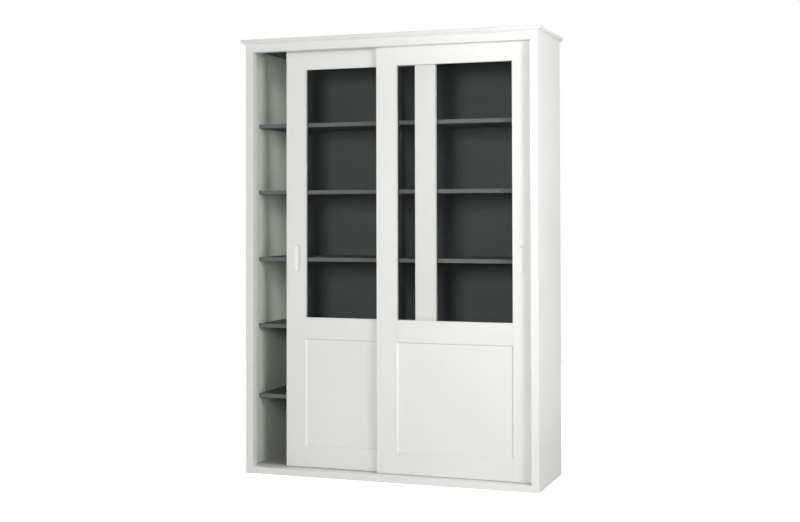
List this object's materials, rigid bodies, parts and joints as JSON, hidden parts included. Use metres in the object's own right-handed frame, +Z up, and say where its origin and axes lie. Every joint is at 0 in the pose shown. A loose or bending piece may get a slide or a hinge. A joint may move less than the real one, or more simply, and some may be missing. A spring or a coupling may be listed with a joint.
{
  "type": "bookcase with sliding doors",
  "caption": "Tall free-standing bookcase with adjustable shelves behind bypass sliding doors: glazed above, panelled below, with finger pulls and a low cornice.",
  "frame": {"origin": "on the floor, under the middle of the overall box, cornice included", "axes": "+X to the right and +Y to the back as seen from the front, +Z up"},
  "size_m": [1.5, 0.46, 2.1],
  "materials": {
    "white_lacquer": "satin white lacquer over board",
    "anthracite_board": "matt anthracite coated board",
    "window_glass": "clear float glass",
    "track_aluminium": "satin anodised",
    "roller_plastic": "natural nylon",
    "carrier_plastic": "moulded dark grey",
    "pin_steel": "nickel-plated",
    "stop_rubber": "black rubber"
  },
  "bodies": {
    "root": {"side_panel_left": "white_lacquer", "side_panel_right": "white_lacquer", "bottom_panel": "anthracite_board", "sill_board": "white_lacquer", "top_panel": "anthracite_board", "head_board": "white_lacquer", "centre_partition": "anthracite_board", "base_rail_back": "white_lacquer", "base_bearer_centre": "white_lacquer", "back_panel_left": "anthracite_board", "back_panel_right": "anthracite_board", "frame_stile_left": "white_lacquer", "frame_stile_right": "white_lacquer", "frame_base_rail": "white_lacquer", "frame_head_rail": "white_lacquer", "jamb_strip_left": "white_lacquer", "jamb_strip_right": "white_lacquer", "cornice_board": "white_lacquer", "cornice_cove_front": "white_lacquer", "cornice_cove_left": "white_lacquer", "cornice_cove_right": "white_lacquer", "shelf_left_1": "anthracite_board", "shelf_left_2": "anthracite_board", "shelf_left_3": "anthracite_board", "shelf_left_4": "anthracite_board", "shelf_left_5": "anthracite_board", "shelf_right_1": "anthracite_board", "shelf_right_2": "anthracite_board", "shelf_right_3": "anthracite_board", "shelf_right_4": "anthracite_board", "shelf_right_5": "anthracite_board", "shelf_pins": "pin_steel", "lower_track": "track_aluminium", "upper_track": "track_aluminium", "track_stops": "stop_rubber"},
    "front_door": {"front_door_stile_left": "white_lacquer", "front_door_stile_right": "white_lacquer", "front_door_top_rail": "white_lacquer", "front_door_mid_rail": "white_lacquer", "front_door_bottom_rail": "white_lacquer", "front_door_lower_panel": "white_lacquer", "front_door_glass": "window_glass", "front_door_glazing_beads": "white_lacquer", "front_door_roller_carriers": "carrier_plastic", "front_door_top_guides": "carrier_plastic"},
    "rear_door": {"rear_door_stile_left": "white_lacquer", "rear_door_stile_right": "white_lacquer", "rear_door_top_rail": "white_lacquer", "rear_door_mid_rail": "white_lacquer", "rear_door_bottom_rail": "white_lacquer", "rear_door_lower_panel": "white_lacquer", "rear_door_glass": "window_glass", "rear_door_glazing_beads": "white_lacquer", "rear_door_roller_carriers": "carrier_plastic", "rear_door_top_guides": "carrier_plastic"},
    "front_roller_left": {"front_door_roller_left": "roller_plastic"},
    "front_roller_right": {"front_door_roller_right": "roller_plastic"},
    "rear_roller_left": {"rear_door_roller_left": "roller_plastic"},
    "rear_roller_right": {"rear_door_roller_right": "roller_plastic"}
  },
  "joints": [
    {"name": "front_door_slide", "type": "slide", "parent": "root", "child": "front_door", "axis": [1, 0, 0], "range_m": [-0.633, 0]},
    {"name": "rear_door_slide", "type": "slide", "parent": "root", "child": "rear_door", "axis": [1, 0, 0], "range_m": [-0.154, 0.479]},
    {"name": "front_roller_left_spin", "type": "hinge", "parent": "front_door", "child": "front_roller_left", "pos_m": [-0.016, -0.155, 0.0383], "axis": [0, 1, 0], "continuous": true},
    {"name": "front_roller_right_spin", "type": "hinge", "parent": "front_door", "child": "front_roller_right", "pos_m": [0.649, -0.155, 0.0383], "axis": [0, 1, 0], "continuous": true},
    {"name": "rear_roller_left_spin", "type": "hinge", "parent": "rear_door", "child": "rear_roller_left", "pos_m": [-0.495, -0.131, 0.0383], "axis": [0, 1, 0], "continuous": true},
    {"name": "rear_roller_right_spin", "type": "hinge", "parent": "rear_door", "child": "rear_roller_right", "pos_m": [0.17, -0.131, 0.0383], "axis": [0, 1, 0], "continuous": true}
  ],
  "couplings": [
    {"joint": "front_roller_left_spin", "follows": "front_door_slide", "rad_per_m": 76.923},
    {"joint": "front_roller_right_spin", "follows": "front_door_slide", "rad_per_m": 76.923},
    {"joint": "rear_roller_left_spin", "follows": "rear_door_slide", "rad_per_m": 76.923},
    {"joint": "rear_roller_right_spin", "follows": "rear_door_slide", "rad_per_m": 76.923}
  ]
}
